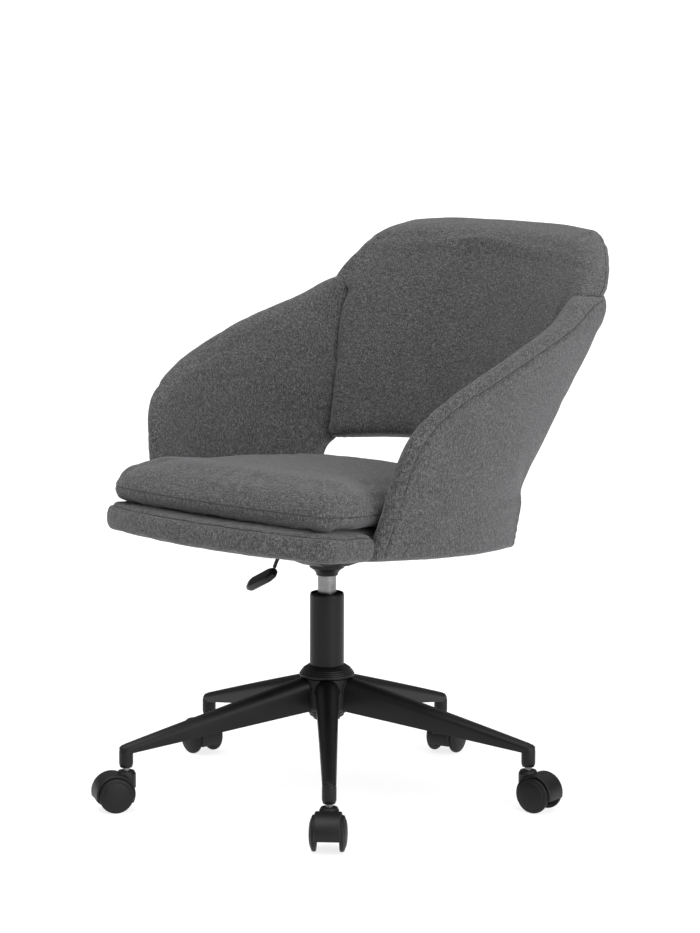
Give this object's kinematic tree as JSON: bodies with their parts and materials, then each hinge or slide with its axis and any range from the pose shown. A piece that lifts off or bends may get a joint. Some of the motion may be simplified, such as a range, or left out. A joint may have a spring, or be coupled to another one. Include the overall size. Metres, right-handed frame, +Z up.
{
  "type": "swivel office chair",
  "caption": "Swivel office chair: padded tub seat with wrap-around arms and back, on a gas lift and a legged base on twin-wheel casters.",
  "frame": {"origin": "on the floor, below the middle of the chair's bounding box", "axes": "+Z up, the sitter faces -Y, +X is the side without the height lever"},
  "size_m": [0.7021, 0.7641, 0.858],
  "materials": {
    "fabric": "woven grey melange",
    "plastic": "satin moulded nylon",
    "wheel": "satin moulded nylon",
    "painted": "black powder coat",
    "steel": "ground and brushed",
    "wood": "raw plywood",
    "lining": "thin black non-woven cloth"
  },
  "bodies": {
    "base": {"base_hub": "painted", "hub_collar": "plastic", "base_leg_1": "painted", "base_leg_2": "painted", "base_leg_3": "painted", "base_leg_4": "painted", "base_leg_5": "painted", "stem_bush_1": "plastic", "stem_bush_2": "plastic", "stem_bush_3": "plastic", "stem_bush_4": "plastic", "stem_bush_5": "plastic", "gas_outer_tube": "painted", "column_guide_bush": "plastic", "thrust_bearing": "steel"},
    "rod": {"piston_rod": "steel", "rod_clip": "steel"},
    "seat": {"gas_cylinder": "steel", "mechanism_housing": "painted", "seat_bolt_1": "steel", "seat_bolt_2": "steel", "seat_bolt_3": "steel", "seat_bolt_4": "steel", "dust_cover": "lining", "seat_board": "wood", "seat_base": "fabric", "seat_cushion": "fabric", "rear_rail": "fabric", "arm_left": "fabric", "arm_right": "fabric", "backrest": "fabric"},
    "lever": {"lever_rod": "painted", "lever_paddle": "plastic"},
    "pin": {"release_pin": "steel"},
    "caster_1": {"caster_hood_1": "plastic", "caster_stem_1": "steel", "caster_axle_1": "steel"},
    "wheel_left_1": {"wheel_left_1": "wheel"},
    "wheel_right_1": {"wheel_right_1": "wheel"},
    "caster_2": {"caster_hood_2": "plastic", "caster_stem_2": "steel", "caster_axle_2": "steel"},
    "wheel_left_2": {"wheel_left_2": "wheel"},
    "wheel_right_2": {"wheel_right_2": "wheel"},
    "caster_3": {"caster_hood_3": "plastic", "caster_stem_3": "steel", "caster_axle_3": "steel"},
    "wheel_left_3": {"wheel_left_3": "wheel"},
    "wheel_right_3": {"wheel_right_3": "wheel"},
    "caster_4": {"caster_hood_4": "plastic", "caster_stem_4": "steel", "caster_axle_4": "steel"},
    "wheel_left_4": {"wheel_left_4": "wheel"},
    "wheel_right_4": {"wheel_right_4": "wheel"},
    "caster_5": {"caster_hood_5": "plastic", "caster_stem_5": "steel", "caster_axle_5": "steel"},
    "wheel_left_5": {"wheel_left_5": "wheel"},
    "wheel_right_5": {"wheel_right_5": "wheel"}
  },
  "joints": [
    {"name": "seat_swivel", "type": "hinge", "parent": "base", "child": "rod", "pos_m": [0.013, -0.049, 0.139], "axis": [0, 0, 1], "continuous": true},
    {"name": "seat_lift", "type": "slide", "parent": "rod", "child": "seat", "axis": [0, 0, 1], "range_m": [-0.02, 0.08]},
    {"name": "lever_lift", "type": "hinge", "parent": "seat", "child": "lever", "pos_m": [-0.0013, -0.049, 0.3812], "axis": [0, 1, 0], "range_deg": [0, 12], "stiffness_Nm_per_rad": 1.5, "springref_deg": -8.59},
    {"name": "release_pin_push", "type": "slide", "parent": "seat", "child": "pin", "axis": [0, 0, 1], "range_m": [-0.0032, 0]},
    {"name": "caster_swivel_1", "type": "hinge", "parent": "base", "child": "caster_1", "pos_m": [0.23185, -0.27834, 0.07], "axis": [0, 0, 1], "continuous": true},
    {"name": "wheel_left_spin_1", "type": "hinge", "parent": "caster_1", "child": "wheel_left_1", "pos_m": [0.24447, -0.29385, 0.0265], "axis": [0.7757, 0.6311, 0], "continuous": true},
    {"name": "wheel_right_spin_1", "type": "hinge", "parent": "caster_1", "child": "wheel_right_1", "pos_m": [0.24447, -0.29385, 0.0265], "axis": [0.7757, 0.6311, 0], "continuous": true},
    {"name": "caster_swivel_2", "type": "hinge", "parent": "base", "child": "caster_2", "pos_m": [0.29874, 0.08827, 0.07], "axis": [0, 0, 1], "continuous": true},
    {"name": "wheel_left_spin_2", "type": "hinge", "parent": "caster_2", "child": "wheel_left_2", "pos_m": [0.31854, 0.09111, 0.0265], "axis": [-0.1424, 0.9898, 0], "continuous": true},
    {"name": "wheel_right_spin_2", "type": "hinge", "parent": "caster_2", "child": "wheel_right_2", "pos_m": [0.31854, 0.09111, 0.0265], "axis": [-0.1424, 0.9898, 0], "continuous": true},
    {"name": "caster_swivel_3", "type": "hinge", "parent": "base", "child": "caster_3", "pos_m": [-0.02925, 0.26517, 0.07], "axis": [0, 0, 1], "continuous": true},
    {"name": "wheel_left_spin_3", "type": "hinge", "parent": "caster_3", "child": "wheel_left_3", "pos_m": [-0.033, 0.28482, 0.0265], "axis": [-0.9823, -0.1876, 0], "continuous": true},
    {"name": "wheel_right_spin_3", "type": "hinge", "parent": "caster_3", "child": "wheel_right_3", "pos_m": [-0.033, 0.28482, 0.0265], "axis": [-0.9823, -0.1876, 0], "continuous": true},
    {"name": "caster_swivel_4", "type": "hinge", "parent": "base", "child": "caster_4", "pos_m": [-0.29885, 0.0079, 0.07], "axis": [0, 0, 1], "continuous": true},
    {"name": "wheel_left_spin_4", "type": "hinge", "parent": "caster_4", "child": "wheel_left_4", "pos_m": [-0.31865, 0.01076, 0.0265], "axis": [-0.143, -0.9897, 0], "continuous": true},
    {"name": "wheel_right_spin_4", "type": "hinge", "parent": "caster_4", "child": "wheel_right_4", "pos_m": [-0.31865, 0.01076, 0.0265], "axis": [-0.143, -0.9897, 0], "continuous": true},
    {"name": "caster_swivel_5", "type": "hinge", "parent": "base", "child": "caster_5", "pos_m": [-0.13748, -0.328, 0.07], "axis": [0, 0, 1], "continuous": true},
    {"name": "wheel_left_spin_5", "type": "hinge", "parent": "caster_5", "child": "wheel_left_5", "pos_m": [-0.14725, -0.34546, 0.0265], "axis": [0.8727, -0.4883, 0], "continuous": true},
    {"name": "wheel_right_spin_5", "type": "hinge", "parent": "caster_5", "child": "wheel_right_5", "pos_m": [-0.14725, -0.34546, 0.0265], "axis": [0.8727, -0.4883, 0], "continuous": true}
  ],
  "couplings": [
    {"joint": "release_pin_push", "follows": "lever_lift", "m_per_rad": -0.0143}
  ]
}
